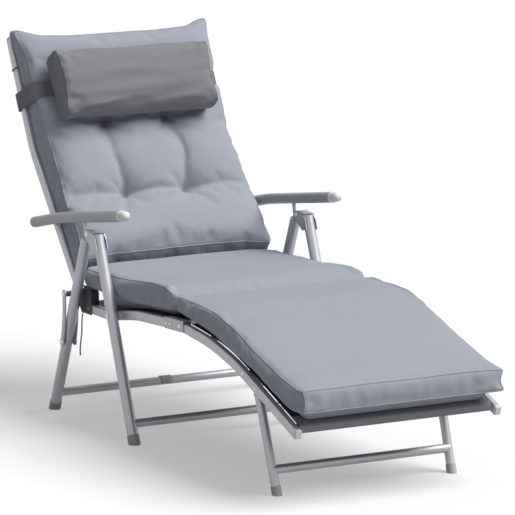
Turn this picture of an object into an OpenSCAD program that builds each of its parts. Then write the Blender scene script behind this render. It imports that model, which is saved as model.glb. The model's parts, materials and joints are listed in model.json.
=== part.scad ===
// Folding reclining lounger with footrest, loose cushion and head pillow.
// Origin: on the floor, under the middle of the chair. +Z up, -Y towards the sitter's feet,
// +X towards the sitter's left. Side outlines are given as [y, z] pairs.

/* [Width] */
// Distance from the middle of the chair to the middle of an armrest and a leg
leg_x = 302; // [296:1:310]
// Distance from the middle of the chair to the middle of a side rail
rail_x = 271.5; // [266:0.5:272]
// Distance from the middle to the foot-end leg at the floor
foot_leg_x = 241; // [230:1:244]

/* [Tubes] */
// Height of the flat-sided side rails
rail_h = 24; // [20:1:26]
// Width of the flat-sided side rails
rail_w = 18; // [16:1:18]
// Diameter of the four main legs
leg_d = 28; // [25:1:28]
// Diameter of the two foot-end legs
foot_leg_d = 22; // [18:1:22]
// Diameter of the floor crossbars and cross tubes
bar_d = 22; // [18:1:22]
// Wall thickness of every tube
wall = 1.5; // [1:0.1:2]

/* [Armrests] */
// Width of an armrest seen from above
arm_w = 32; // [28:1:34]
// Height of an armrest section
arm_h = 28; // [24:1:30]
// Number of reclining notches under each armrest
notch_n = 7; // [5:2:7]
// Distance between two notches
notch_pitch = 22; // [18:1:22]

/* [Soft parts] */
// Width of the seat, leg and back cushion
cushion_w = 540; // [500:5:542]
// Width of the head pillow
pillow_w = 450; // [400:5:480]
// Thickness of the woven mesh
mesh_t = 1.6; // [1:0.1:2.5]
// Thickness of the pillow strap
strap_t = 1.6; // [1:0.1:2]

/* [Feet and fasteners] */
// Height of the plastic feet
foot_h = 22; // [16:1:30]
// Radius of the pivot bolts and rivets
pin_r = 3.5; // [3:0.25:4]

/* [Hidden] */
$fn = 48;
fit = 0.05;                 // running clearance of a pin in its bore, on the radius
gap = 0.5;                  // clearance between faces that slide past each other
rail_round = 4.5;           // corner radius of the flat-sided rails
rail_in = rail_x - rail_w / 2;
rail_out = rail_x + rail_w / 2;
leg_in = leg_x - leg_d / 2;
leg_out = leg_x + leg_d / 2;
cheek = 2;                  // thickness of pressed steel brackets

// Pivots, all parallel to X
back_pivot = [381, 322];
arm_pivot = [523, 491.5];
apex = [252, 497];
front_foot = [17.6, 0];
rear_foot = [482, 0];
front_lean = 0.4;           // how far a front leg runs back for each unit of height
rear_lean = -0.415;
leg_pivot = [front_foot[0] + front_lean * 305.5, 305.5];
link_pivot = [395.1, 193.7];
rest_pivot = [-191, 335.5];
rest_turn = 145;            // how far the footrest folds under the seat
foot_pivot = [-516, 279];
foot_foot = [-616, 0];
prong_tip = [292, 521];

// Centre lines of the side rails and of the armrest
seat_path = [[356, 291.5], [205, 292], [60, 319], [-171, 334.5]];
seat_bends = [0, 500, 700, 0];
rest_path = [[-191, 335.5], [-345, 321], [-475, 291], [-768, 183.5]];
rest_bends = [0, 800, 700, 0];
back_path = [back_pivot, [658, 653], [793, 926]];
back_bends = [0, 300, 0];
arm_path = [[584, 477], [430, 512.5], [84, 568]];
arm_bends = [0, 900, 0];

// ---- plane geometry helpers ----
function heading(p, i) = atan2(p[i + 1][1] - p[i][1], p[i + 1][0] - p[i][0]);
function turn(p, i) = ((heading(p, i) - heading(p, i - 1) + 540) % 360) - 180;
function trim(p, r, i) = (i == 0 || i == len(p) - 1) ? 0 : r[i] * tan(abs(turn(p, i)) / 2);
function way(a) = [cos(a), sin(a)];
function left_of(a) = [-sin(a), cos(a)];
function last(p) = p[len(p) - 1];
// The same path moved sideways by d, to the left of its direction
function beside(p, d) = [for (i = [0 : len(p) - 1])
    let (a = heading(p, max(i - 1, 0)), b = heading(p, min(i, len(p) - 2)), h = (b - a) / 2)
    p[i] + d / cos(h) * left_of(a + h)];
// Points of a leg at height z
function front_at(z) = [front_foot[0] + front_lean * z, z];
function rear_at(z) = [rear_foot[0] + rear_lean * z, z];

// Lays a drawing of the side view (x along Y, y up) in place, its thickness along X
module side(x = 0) translate([x, 0, 0]) rotate([90, 0, 90]) children();

// Child and its mirror image on the other side of the chair
module both() {
    children();
    mirror([1, 0, 0]) children();
}

// Child as drawn for the left side, mirrored for the right side
module hand(left) {
    if (left) children();
    else mirror([1, 0, 0]) children();
}

// Extrudes a flat section along the straight line a-b. Section x is left of the line, y along X.
module bar(a, b) translate([a[0], a[1], 0]) rotate([0, 0, atan2(b[1] - a[1], b[0] - a[0])])
    rotate([90, 0, 90]) linear_extrude(norm(b - a)) children();

// Stations [point, heading] along a path with round bends, bend_n steps to a bend
bend_n = 6;
function stations(p, r) = [for (i = [0 : len(p) - 1])
    if (i == 0) [p[0], heading(p, 0)]
    else if (i == len(p) - 1) [p[i], heading(p, i - 1)]
    else each let (
        t = turn(p, i), s = sign(t), a = heading(p, i - 1),
        c = p[i] - trim(p, r, i) * way(a) + s * r[i] * left_of(a))
        [for (k = [0 : bend_n]) [c - s * r[i] * left_of(a + t * k / bend_n), a + t * k / bend_n]]];
// Outline of a box with round corners, as points
function round_box_pts(a, b, r, n = 4) = [for (q = [0 : 3], k = [0 : n - 1])
    let (e = 90 * q + 90 * k / (n - 1), i = q == 0 || q == 3 ? 1 : -1, j = q < 2 ? 1 : -1)
    [i * (a / 2 - r) + r * cos(e), j * (b / 2 - r) + r * sin(e)]];
function box_pts(a, b) = [[a / 2, b / 2], [-a / 2, b / 2], [-a / 2, -b / 2], [a / 2, -b / 2]];
function stand(st, pts, x) = [for (s = st) each [for (q = pts)
    let (c = s[0] + q[0] * left_of(s[1])) [x + q[1], c[0], c[1]]]];
function skin(m, n, from, flip) = [for (j = [0 : n - 2], i = [0 : m - 1])
    let (a = from + j * m + i, b = from + j * m + (i + 1) % m)
    flip ? [a, b, b + m, a + m] : [a + m, b + m, b, a]];
// Sweeps an outline along a bent side-view path at x
module sweep(p, r, pts, x) {
    st = stations(p, r);
    m = len(pts);
    n = len(st);
    polyhedron(
        points = stand(st, pts, x),
        faces = concat(skin(m, n, 0, true),
            [[for (i = [0 : m - 1]) m - 1 - i]], [[for (i = [0 : m - 1]) (n - 1) * m + i]]));
}
// The same, hollow: the inner outline has as many points as the outer one
module sweep_tube(p, r, outer, inner, x) {
    st = stations(p, r);
    m = len(outer);
    n = len(st);
    polyhedron(
        points = concat(stand(st, outer, x), stand(st, inner, x)),
        faces = concat(skin(m, n, 0, true), skin(m, n, n * m, false),
            [for (i = [0 : m - 1]) let (k = (i + 1) % m) [i, n * m + i, n * m + k, k]],
            [for (i = [0 : m - 1]) let (k = (i + 1) % m, e = (n - 1) * m)
                [e + i, e + k, n * m + e + k, n * m + e + i]]));
}

module round_box_2d(a, b, r) {
    square([a, b - 2 * r], center = true);
    square([a - 2 * r, b], center = true);
    for (i = [-1, 1], j = [-1, 1]) translate([i * (a / 2 - r), j * (b / 2 - r)]) circle(r);
}

// Hollow flat-sided rail along a path, at rail_x
module rail(p, r) sweep_tube(p, r, round_box_pts(rail_h, rail_w, rail_round),
    round_box_pts(rail_h - 2 * wall, rail_w - 2 * wall, rail_round - wall), rail_x);

// Cylinder along X from x0 to x1 at the side-view point c
module pin(c, r, x0, x1) translate([x0, c[0], c[1]]) rotate([0, 90, 0]) cylinder(r = r, h = x1 - x0);

// Domed head whose flat face is at x, bulging towards +X (dir 1) or -X (dir -1)
module dome(c, x, r = 6.5, h = 3.5, dir = 1) {
    big = (r * r + h * h) / (2 * h);
    translate([x, c[0], c[1]]) rotate([0, dir * 90, 0]) intersection() {
        translate([0, 0, h - big]) sphere(big);
        cylinder(r = r + 1, h = h + 1);
    }
}

// Headed pin from x0 to x1, both ends domed
module bolt(c, x0, x1, r = pin_r, head = 6.5) {
    pin(c, r, x0 - 0.5, x1 + 0.5);
    dome(c, x1, head);
    dome(c, x0, head, dir = -1);
}

// Solid rod between two points in space
module rod(a, b, d) {
    v = b - a;
    translate(a) rotate([0, acos(v[2] / norm(v)), atan2(v[1], v[0])]) cylinder(d = d, h = norm(v));
}

// Hollow round tube between two points in space
module tube(a, b, d) difference() {
    u = (b - a) / norm(b - a);
    rod(a, b, d);
    rod(a - u, b + u, d - 2 * wall);
}

// ---- seat frame ----
module seat_rail(left) color([0.62, 0.65, 0.68]) hand(left) difference() {
    rail(seat_path, seat_bends);
    pin(leg_pivot, pin_r, rail_in - 1, rail_out + 1);
    for (y = sleeve_rivet_y) pin([y, 332], 2.5, rail_in - 1, rail_out + 1);
    pin([318, 291.5], 2.5, rail_in - 1, rail_out + 1);
    translate([rail_in - 1, rest_pivot[0], rest_pivot[1]])
        rotate([heading(rest_path, 0) + rest_turn + 90, 0, 0])
            translate([0, -30, -60]) cube([rail_w + 2, 30 + rail_h / 2 + gap, 120]);
}
sleeve_rivet_y = [-124, -143];

sleeve_path = [[-112, 331.5], [-212, 336.5]];
module sleeve_brackets() color([0.7, 0.73, 0.76]) both() difference() {
    side(rail_x) bar(sleeve_path[0], sleeve_path[1]) difference() {
        translate([-0.8, 0]) round_box_2d(rail_h + 4.6, rail_w + 2 * cheek + 0.4, 3);
        translate([6, 0]) square([rail_h + 12.8, rail_w + 0.4], center = true);
    }
    for (y = sleeve_rivet_y) pin([y, 332], 2.5, rail_in - 5, rail_out + 5);
    pin(rest_pivot, pin_r, rail_in - 5, rail_out + 5);
}

module frame_rivets() color("silver") both() {
    for (y = sleeve_rivet_y) bolt([y, 332], rail_in - cheek - 0.2, rail_out + cheek + 0.2, 2.5, 4);
    pin([318, 291.5], 2.5, rail_in - cheek - 0.2, rail_out + cheek + 0.2);
}

module footrest_hinge_pins() color("silver") both()
    bolt(rest_pivot, rail_in - cheek - 0.2, rail_out + cheek + 0.2);

// Pressed plate that carries the back's pivot behind the end of the seat rail
module hinge_plate_2d() {
    translate([299, 277]) square([60, 55]);
    translate([307, 300]) square([60, 40]);
    translate([307, 332]) circle(8);
    translate(back_pivot) circle(18);
    polygon([[352, 277], [352, 340], [367, 340], [385, 339.5], [398, 317], [389, 306]]);
}

module back_hinge_brackets() color([0.2, 0.2, 0.22]) both() difference() {
    union() {
        for (x = [rail_in - cheek - 0.2, rail_out + 0.2]) side(x) linear_extrude(cheek) hinge_plate_2d();
        side(rail_in - 1) translate([307, 337, 0]) cube([38, 3, rail_w + 2]);
        side(rail_in - 1) translate([299, 308, 0]) cube([3, 28, rail_w + 2]);
    }
    pin(back_pivot, pin_r, rail_in - 5, rail_out + 5);
    pin([318, 291.5], 2.5, rail_in - 5, rail_out + 5);
}

link_in_x = leg_in - 5;      // inner face of the inner link plate
link_out_x = leg_out + 2;    // inner face of the outer link plate
link_t = 3;
module back_hinge_bolts() color("silver") both()
    bolt(back_pivot, rail_in - cheek - 0.2, link_out_x + link_t + gap);

module back_bolt_spacers() color([0.25, 0.25, 0.27]) both() difference() {
    pin(back_pivot, 7, link_in_x + link_t + 0.2, link_out_x - 0.2);
    pin(back_pivot, pin_r, link_in_x, link_out_x + 1);
}

module leg_pivot_spacers() color([0.6, 0.62, 0.64]) both() difference() {
    pin(leg_pivot, 11, rail_out, leg_in - 0.3);
    pin(leg_pivot, pin_r, rail_out - 1, leg_in + 1);
}

module leg_pivot_bolts() color("silver") both() {
    pin(leg_pivot, pin_r, rail_in - 0.5, leg_out + 0.5);
    dome(leg_pivot, leg_out + 0.3, 7);
    dome(leg_pivot, rail_in, 6, dir = -1);
}

module seat_cross_tube() color([0.62, 0.65, 0.68])
    for (c = [[-90, 325], [240, 285]])
        tube([-rail_in, c[0], c[1]], [rail_in, c[0], c[1]], 18);

mesh_lift = 10.5;           // height of the mesh above the middle of the rails
seat_mesh_path = [[352, 291.5], [205, 292], [60, 319], [-164, 334]];
module mesh_sheet(p, r) sweep(p, r, box_pts(mesh_t, 2 * (rail_in - cheek - 0.4)), 0);

module seat_mesh() color([0.12, 0.12, 0.13])
    mesh_sheet(beside(seat_mesh_path, -mesh_lift), seat_bends);

// Closed pad outline in the side view, extruded across the chair
module pad(p, w) side(-w / 2) linear_extrude(w) polygon(p);

back_clear = 93;            // the seat pad keeps this far from the back's pivot
seat_pad = [[-147, 366], [-40, 355], [130, 341], [330, 341], [340, 397], [225, 403], [98, 406],
    [-15, 413], [-110, 415], [-147, 402]];
seat_belly = [[-130, 345], [60, 332], [205, 307.5], [285, 304.5], [290, 345], [130, 345], [-40, 359],
    [-130, 367]];
module seat_cushion() color([0.62, 0.64, 0.7]) difference() {
    union() {
        pad(seat_pad, cushion_w);
        pad(seat_belly, cushion_w - 120);
    }
    translate([-cushion_w, back_pivot[0], back_pivot[1]]) rotate([0, 90, 0])
        cylinder(r = back_clear, h = 2 * cushion_w, $fn = 96);
}

// Thin ribbon that hangs from the cushion's rear corner on the right
tie_route = [[-250, 322, 337.8], [-251, 334, 336], [-252, 350, 330], [-253, 366, 319], [-254, 380, 304],
    [-255, 391, 288], [-256, 400, 270], [-257, 406, 250], [-256, 410, 230], [-255, 413, 210],
    [-256, 416, 190], [-257, 419, 168], [-256, 421, 148]];
tie_d = 6;
function cross_unit(a, b) = cross(a, b) / norm(cross(a, b));
function along_route(p, i) = p[min(i + 1, len(p) - 1)] - p[max(i - 1, 0)];
function ring(c, v, r, k) =
    let (e = cross_unit([1, 0, 0], v), f = cross_unit(v, e))
    [for (i = [0 : k - 1]) c + r * (cos(i * 360 / k) * e + sin(i * 360 / k) * f)];
module cord_tube(p, d, k = 8) {
    n = len(p);
    polyhedron(
        points = [for (i = [0 : n - 1]) each ring(p[i], along_route(p, i), d / 2, k)],
        faces = concat(
            [[for (i = [0 : k - 1]) i]],
            [[for (i = [0 : k - 1]) n * k - 1 - i]],
            [for (j = [0 : n - 2], i = [0 : k - 1])
                [j * k + i, (j + 1) * k + i, (j + 1) * k + (i + 1) % k, j * k + (i + 1) % k]]));
}
module cushion_tie() color([0.55, 0.57, 0.62]) cord_tube(tie_route, tie_d);

// ---- reclining back ----
back_low = heading(back_path, 0);
back_up = heading(back_path, 1);
function on_back(a, d = 0) = back_pivot + a * way(back_low) + d * left_of(back_low);
function on_top(a, d = 0) = back_path[1] + a * way(back_up) + d * left_of(back_up);

module back_rail(left) color([0.66, 0.69, 0.72]) hand(left) difference() {
    rail(concat([on_back(-12)], [back_path[1], back_path[2]]), back_bends);
    difference() {
        side(rail_in - 1) translate(back_pivot) rotate(back_low + 90)
            translate([-20, 0, 0]) cube([40, 20, rail_w + 2]);
        pin(back_pivot, rail_h / 2, rail_in - 2, rail_out + 2);
    }
    pin(back_pivot, pin_r + fit, rail_in - 1, rail_out + 1);
    pin(arm_pivot, pin_r, rail_in - 1, rail_out + 1);
}

back_bar = 18;
module back_cross_tubes() color([0.62, 0.65, 0.68])
    for (c = [on_back(64, -3), on_top(262, -3)])
        tube([-rail_in, c[0], c[1]], [rail_in, c[0], c[1]], back_bar);

// Plastic cap with a plug inside the end of a rail, beyond the last point of its path
module rail_cap(p, len_out = 9) side(rail_x) {
    a = heading(p, len(p) - 2);
    translate([last(p)[0], last(p)[1], 0]) rotate([0, 0, a]) rotate([90, 0, 90]) {
        linear_extrude(len_out - 3) round_box_2d(rail_h, rail_w, rail_round);
        translate([0, 0, len_out - 3]) linear_extrude(3)
            round_box_2d(rail_h - 4, rail_w - 4, rail_round - 2);
        translate([0, 0, -16]) linear_extrude(16.5)
            round_box_2d(rail_h - 2 * wall - 0.2, rail_w - 2 * wall - 0.2, rail_round - wall - 0.1);
    }
}
module back_rail_caps() color([0.8, 0.81, 0.82]) both() rail_cap(back_path);

module back_mesh() color([0.12, 0.12, 0.13])
    mesh_sheet(beside([on_back(50), back_path[1], on_top(278)], mesh_lift), back_bends);

module back_cushion() color([0.62, 0.64, 0.7])
    pad(concat(
        beside([on_back(50), back_path[1], on_top(306)], 14.6),
        [on_top(306, 66), on_top(160, 72), on_top(40, 84), on_back(380, 84), on_back(245, 80),
         on_back(120, 78), on_back(46, 69), on_back(44, 20)]), cushion_w);

module head_pillow() color([0.5, 0.5, 0.52]) side(-pillow_w / 2)
    translate(on_top(130, 130)) rotate(back_up) linear_extrude(pillow_w) round_box_2d(186, 96, 44);

// Band of webbing around the pillow's ends, the cushion and the back rails
strap_x = rail_out + 2.4;
strap_end = pillow_w / 2 + strap_t + 0.2;
strap_w = 48;
strap_outer = [[0, -17], [strap_x - 5, -17], [strap_x, -12], [strap_x, 18], [276, 76], [strap_end, 122],
    [strap_end, 130]];
strap_inner = [[strap_end - strap_t, 130], [strap_end - strap_t, 121], [276 - strap_t, 75],
    [strap_x - strap_t, 18], [strap_x - strap_t, -11.3], [strap_x - 5.7, -17 + strap_t], [0, -17 + strap_t]];
module pillow_strap() color([0.33, 0.33, 0.35]) both() side() translate(on_top(128)) rotate(back_up)
    translate([-strap_w / 2, 0, 0]) rotate([0, -90, 0]) mirror([0, 0, 1])
        linear_extrude(strap_w) polygon(concat(strap_outer, strap_inner));

module elastic_loop() color([0.1, 0.1, 0.1]) both()
    side(rail_x) translate(on_top(222)) rotate([0, 0, back_up]) rotate([90, 0, 90]) linear_extrude(4)
        difference() {
            round_box_2d(rail_h + 4, rail_w + 3.2, rail_round + 1.6);
            round_box_2d(rail_h + 0.4, rail_w + 0.4, rail_round + 0.2);
        }

module armrest_bolts() color("silver") both() {
    seat = leg_x - arm_w / 2 + wall + 2.1;
    pin(arm_pivot, pin_r, rail_in - 0.5, seat + 0.5);
    dome(arm_pivot, rail_in, 6.5, dir = -1);
    pin(arm_pivot, 6.5, seat, seat + 3);
}

// Steel spacer plate between the rail and the armrest, with a round boss on the bolt
plate_len = 48;
module armrest_bushes() color([0.6, 0.62, 0.65]) both() difference() {
    x0 = rail_out + 0.3;
    x1 = leg_x - arm_w / 2 - 0.3;
    union() {
        pin(arm_pivot, 9, x0, x1);
        side(x0) linear_extrude(x1 - x0)
            bar_2d(arm_pivot, arm_pivot + plate_len * way(heading(arm_path, 0)), 16);
    }
    pin(arm_pivot, pin_r + fit, rail_out, leg_x);
}

// ---- armrests ----
arm_dir = heading(arm_path, 1);
function on_arm(a, d = 0) = arm_path[1] + a * way(arm_dir) + d * left_of(arm_dir);
arm_round = min(arm_w, arm_h) / 2 - 1;
prong_at = (prong_tip - arm_path[1]) * way(arm_dir);
rack_half = (notch_n - 1) / 2 * notch_pitch + 18;
rack_base = 5.5;            // depth of the strip's wide base below the armrest's centre line
rack_tip = 10;              // depth of the teeth
rack_taper = 1.8;           // how much shallower the teeth get towards the tip of the armrest
notch_r = 6;
prong_r = 3;

module armrest(left) color([0.7, 0.73, 0.76]) hand(left) difference() {
    sweep_tube(arm_path, arm_bends, round_box_pts(arm_h, arm_w, arm_round, 7),
        round_box_pts(arm_h - 2 * wall, arm_w - 2 * wall, arm_round - wall, 7), leg_x);
    side(leg_x) translate(on_arm(prong_at - rack_half - 2)) rotate(arm_dir)
        translate([0, 5, -6]) cube([2 * rack_half + 4, 12, 12]);
    pin(arm_pivot, pin_r + fit, leg_x - arm_w, leg_x);
}

module armrest_tips() color([0.85, 0.86, 0.87]) both() side(leg_x) {
    translate(last(arm_path)) rotate([0, 0, arm_dir]) tip_nose();
    translate(last(arm_path)) rotate([0, 0, arm_dir]) rotate([90, 0, 90]) translate([0, 0, -24])
        linear_extrude(24.5) round_box_2d(arm_h - 2 * wall - 0.2, arm_w - 2 * wall - 0.2,
            arm_round - wall - 0.1);
}
// Rounded nose of an armrest, along local X
tip_len = 32;
module tip_nose() hull() for (e = [0, 45, 62, 76, 88])
    translate([e == 0 ? 0 : tip_len * sin(e) - 0.4, 0, 0]) rotate([90, 0, 90]) linear_extrude(0.4)
        polygon(round_box_pts((arm_h + 0.6) * pow(cos(e), 0.7), (arm_w + 0.6) * pow(cos(e), 0.7),
            arm_round * pow(cos(e), 0.7), 5));

module armrest_plugs() color([0.3, 0.31, 0.33]) both() side(leg_x)
    translate(arm_path[0]) rotate([0, 0, heading(arm_path, 0) + 180]) rotate([90, 0, 90]) {
        linear_extrude(3) round_box_2d(arm_h - 1, arm_w - 1, arm_round - 0.5);
        translate([0, 0, -14]) linear_extrude(14.5)
            round_box_2d(arm_h - 2 * wall - 0.2, arm_w - 2 * wall - 0.2, arm_round - wall - 0.1);
    }

// Notched strip inside the armrest, teeth downwards
module recline_racks() color([0.15, 0.15, 0.16]) both() side(leg_x)
    translate(on_arm(prong_at)) rotate(arm_dir) {
        translate([-rack_half, 2, 1.2 + wall - arm_w / 2])
            cube([2 * rack_half, rack_base - 2, arm_w - 2 * wall - 2.4]);
        translate([0, 0, -4]) linear_extrude(8) difference() {
            polygon([[-rack_half, 2], [rack_half, 2], [rack_half, rack_tip - rack_taper], [0, rack_tip],
                [-rack_half, rack_tip]]);
            for (i = [-(notch_n - 1) / 2 : (notch_n - 1) / 2])
                translate([i * notch_pitch, rack_tip + notch_r / 2 - max(i, 0) * notch_pitch * rack_taper / rack_half]) circle(notch_r);
        }
    }

// ---- front legs, main fold ----
leg_start = 9;
module leg_tube(a, b) tube(a, b, leg_d);
function at_x(x, p) = [x, p[0], p[1]];

module front_leg(left) color([0.68, 0.71, 0.74]) hand(left) difference() {
    leg_tube(at_x(leg_x, front_at(leg_start)), at_x(leg_x, front_at(516)));
    translate([leg_in - 5, 100, 503.5]) cube([leg_d + 10, 200, 60]);
    pin(leg_pivot, pin_r + fit, leg_in - 2, leg_out + 2);
}

// Crossbar between the two legs of a pair, coped around them
module crossbar(c, x, a, b, d) difference() {
    tube([-x, c[0], c[1]], [x, c[0], c[1]], bar_d);
    both() rod(a, b, d);
}
module front_crossbar() color([0.62, 0.65, 0.68])
    crossbar([35, 49.3], leg_x, at_x(leg_x, front_at(-20)), at_x(leg_x, front_at(200)), leg_d);

// Plastic shoe: a sleeve round the end of a leg, cut flat on the floor
module shoe(a, b, d, h) {
    u = (b - a) / norm(b - a);
    difference() {
        rod(a - 20 * u, a + (b - a) * (h / (b - a)[2]), d + 3);
        rod(a + (b - a) * (leg_start / (b - a)[2]), b, d);
        translate([-500, a[1] - 100, -60]) cube([1000, 200, 60]);
    }
}
module front_feet() color([0.8, 0.81, 0.82]) both()
    shoe(at_x(leg_x, front_foot), at_x(leg_x, front_at(100)), leg_d, foot_h);

bracket_x = leg_out + 0.2;
module apex_cheek_2d() {
    translate(apex) circle(12);
    polygon([[192, 466], [202, 492], [212, 503], [252, 509], [259, 487], [219, 462]]);
}
module apex_brackets() color([0.6, 0.62, 0.65]) both() difference() {
    union() {
        for (x = [leg_in - 0.2 - cheek, bracket_x]) side(x) linear_extrude(cheek) apex_cheek_2d();
        side(leg_in - 1) translate([212, 504.4, 0]) rotate(3.7) cube([40, 2, leg_d + 2]);
    }
    pin(apex, pin_r, leg_in - 10, leg_out + 10);
}
module apex_bolts() color("silver") both()
    bolt(apex, leg_in - cheek - 0.2, bracket_x + cheek);

// ---- rear legs ----
module rear_leg(left) color([0.66, 0.69, 0.72]) hand(left) difference() {
    leg_tube(at_x(leg_x, rear_at(leg_start)), at_x(leg_x, rear_at(482)));
    pin(link_pivot, pin_r, leg_in - 2, leg_out + 2);
}
module rear_crossbar() color([0.62, 0.65, 0.68])
    crossbar([461, 47.7], leg_x, at_x(leg_x, rear_at(-20)), at_x(leg_x, rear_at(200)), leg_d);
module rear_feet() color([0.8, 0.81, 0.82]) both()
    shoe(at_x(leg_x, rear_foot), at_x(leg_x, rear_at(100)), leg_d, foot_h);

// Barrel on the apex bolt, its plug in the top of the rear leg, and the prong for the rack
module bar_2d(a, b, w) translate(a) rotate(atan2(b[1] - a[1], b[0] - a[0]))
    translate([0, -w / 2]) square([norm(b - a), w]);
module recline_prongs() color([0.45, 0.46, 0.48]) both() {
    difference() {
        union() {
            pin(apex, 9, leg_in + 0.3, leg_out - 0.3);
            side(leg_x - 3) linear_extrude(6) {
                bar_2d(apex, rear_at(476), 12);
                bar_2d(rear_at(478), prong_tip, 8);
            }
            rod(at_x(leg_x, rear_at(452)), at_x(leg_x, rear_at(482)), leg_d - 2 * wall - 0.1);
        }
        pin(apex, pin_r + fit, leg_in - 1, leg_out + 1);
    }
    pin(prong_tip, prong_r, leg_x - 4.5, leg_x + 4.5);
}

module folding_catch() color([0.8, 0.81, 0.82]) difference() {
    translate([-6, 461, 47.7]) rotate([0, 90, 0]) cylinder(d = bar_d + 5, h = 30);
    translate([-8, 461, 47.7]) rotate([0, 90, 0]) cylinder(d = bar_d, h = 34);
    translate([-8, 440, 20]) cube([34, 42, 22]);
}

// ---- links between the back pivots and the rear legs ----
link_bow = 372;
link_mid = (back_pivot + link_pivot) / 2;
link_half = norm(back_pivot - link_pivot) / 2;
link_head = atan2(back_pivot[1] - link_pivot[1], back_pivot[0] - link_pivot[0]);
link_centre = link_mid - sqrt(link_bow * link_bow - link_half * link_half) * left_of(link_head);
link_sweep = 2 * asin(link_half / link_bow);
function link_edge(r) = [for (k = [0 : 8])
    link_centre + r * way(link_head + 90 + link_sweep * (k / 8 - 0.5))];
function reversed(v) = [for (i = [len(v) - 1 : -1 : 0]) v[i]];
module link(x) difference() {
    side(x) linear_extrude(link_t) {
        polygon(concat(link_edge(link_bow - 8), reversed(link_edge(link_bow + 8))));
        translate(back_pivot) circle(11);
        translate(link_pivot) circle(11);
    }
    pin(back_pivot, pin_r + fit, x - 1, x + link_t + 1);
    pin(link_pivot, pin_r, x - 1, x + link_t + 1);
}
module inner_links() color([0.6, 0.62, 0.65]) both() link(link_in_x);
module outer_links() color([0.66, 0.69, 0.72]) both() link(link_out_x);
module link_rivets() color("silver") both() {
    pin(link_pivot, pin_r, link_out_x - 1.5, link_out_x + link_t + 0.5);
    dome(link_pivot, link_out_x + link_t);
    pin(link_pivot, pin_r, link_in_x - 0.3, link_in_x + link_t + 1.5);
}

// ---- footrest ----
module footrest_rail(left) color([0.62, 0.65, 0.68]) hand(left) difference() {
    rail(concat([[-175, 336.5]], [for (i = [1 : 3]) rest_path[i]]), rest_bends);
    difference() {
        translate([rail_in - 1, rest_pivot[0], rest_pivot[1] - 20]) cube([rail_w + 2, 40, 40]);
        pin(rest_pivot, rail_h / 2, rail_in - 2, rail_out + 2);
    }
    pin(rest_pivot, pin_r + fit, rail_in - 1, rail_out + 1);
    pin(foot_pivot, pin_r, rail_in - 1, rail_out + 1);
    pin(stop_at, 2.5, rail_in - 1, rail_out + 1);
}
stop_at = [-576, 254];
module footrest_rail_caps() color([0.8, 0.81, 0.82]) both() rail_cap(rest_path);
module footrest_cross_tube() color([0.62, 0.65, 0.68])
    for (c = [[-300, 321.5], [-735, 192]])
        tube([-rail_in, c[0], c[1]], [rail_in, c[0], c[1]], 13);
rest_mesh_path = [[-214, 333.4], rest_path[1], rest_path[2], [-756, 187.9]];
module footrest_mesh() color([0.12, 0.12, 0.13])
    mesh_sheet(beside(rest_mesh_path, -mesh_lift), rest_bends);

rest_pad = [[-149, 368], [-195, 364], [-326, 345], [-437, 320], [-560, 290], [-700, 243], [-797, 230],
    [-807, 238], [-807, 290], [-668, 326], [-561, 356], [-430, 392], [-341, 407], [-227, 412],
    [-149, 402]];
rest_belly = [[-232, 344.5], [-345, 334.5], [-475, 304], [-740, 208], [-745, 236], [-700, 247],
    [-560, 294], [-437, 324], [-326, 349], [-232, 364]];
module footrest_cushion() color([0.62, 0.64, 0.7]) {
    pad(rest_pad, cushion_w);
    pad(rest_belly, cushion_w - 120);
}

foot_top_x = 247;
eye_x = foot_top_x + 3;      // inner face of the flat eye at the top of a foot-end leg
eye_t = 6;
eye_r = 6.8;
module foot_leg_pins() color("silver") both()
    bolt(foot_pivot, eye_x - 0.3, rail_out + 0.2, pin_r, 6);
module foot_leg_spacers() color([0.25, 0.25, 0.27]) both() difference() {
    pin(foot_pivot, 6.8, eye_x + eye_t + 0.3, rail_in);
    pin(foot_pivot, pin_r, foot_top_x, rail_in + 1);
}
module leg_stop_rivets() color("silver") both() {
    pin(stop_at, 2.5, rail_in - 0.5, rail_out + 0.5);
    dome(stop_at, rail_out, 4, 2.5);
    dome(stop_at, rail_in, 4, 2.5, -1);
}

// ---- foot-end legs ----
function foot_line(z) = [foot_leg_x + (foot_top_x - foot_leg_x) * z / foot_pivot[1],
    foot_foot[0] + (foot_pivot[0] - foot_foot[0]) * z / foot_pivot[1], z];
module foot_leg(left) color([0.66, 0.69, 0.72]) hand(left) difference() {
    union() {
        rod(foot_line(leg_start), foot_line(foot_pivot[1] - 16), foot_leg_d);
        side(eye_x) linear_extrude(eye_t) {
            translate(foot_pivot) circle(eye_r);
            bar_2d(foot_pivot, [foot_line(foot_pivot[1] - 20)[1], foot_pivot[1] - 20], 2 * eye_r - 2);
        }
    }
    rod(foot_line(leg_start - 2), foot_line(foot_pivot[1] - 26), foot_leg_d - 2 * wall);
    pin(foot_pivot, pin_r + fit, eye_x - 1, eye_x + eye_t + 1);
}
module foot_crossbar() color([0.62, 0.65, 0.68])
    crossbar([-597, 58], foot_leg_x + 1, foot_line(-20), foot_line(200), foot_leg_d);
module foot_leg_feet() color([0.8, 0.81, 0.82]) both()
    shoe(foot_line(0), foot_line(100), foot_leg_d, 20);
module leg_stop_hooks() color([0.2, 0.2, 0.22]) both() difference() {
    c = foot_line(222);
    union() {
        translate([c[0] - 5, c[1], c[2]]) cube([10, 19, 9]);
        translate([c[0] - 5, c[1] + 14, c[2]]) cube([10, 5, 17]);
    }
    rod(foot_line(100), foot_line(280), foot_leg_d);
}

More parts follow.
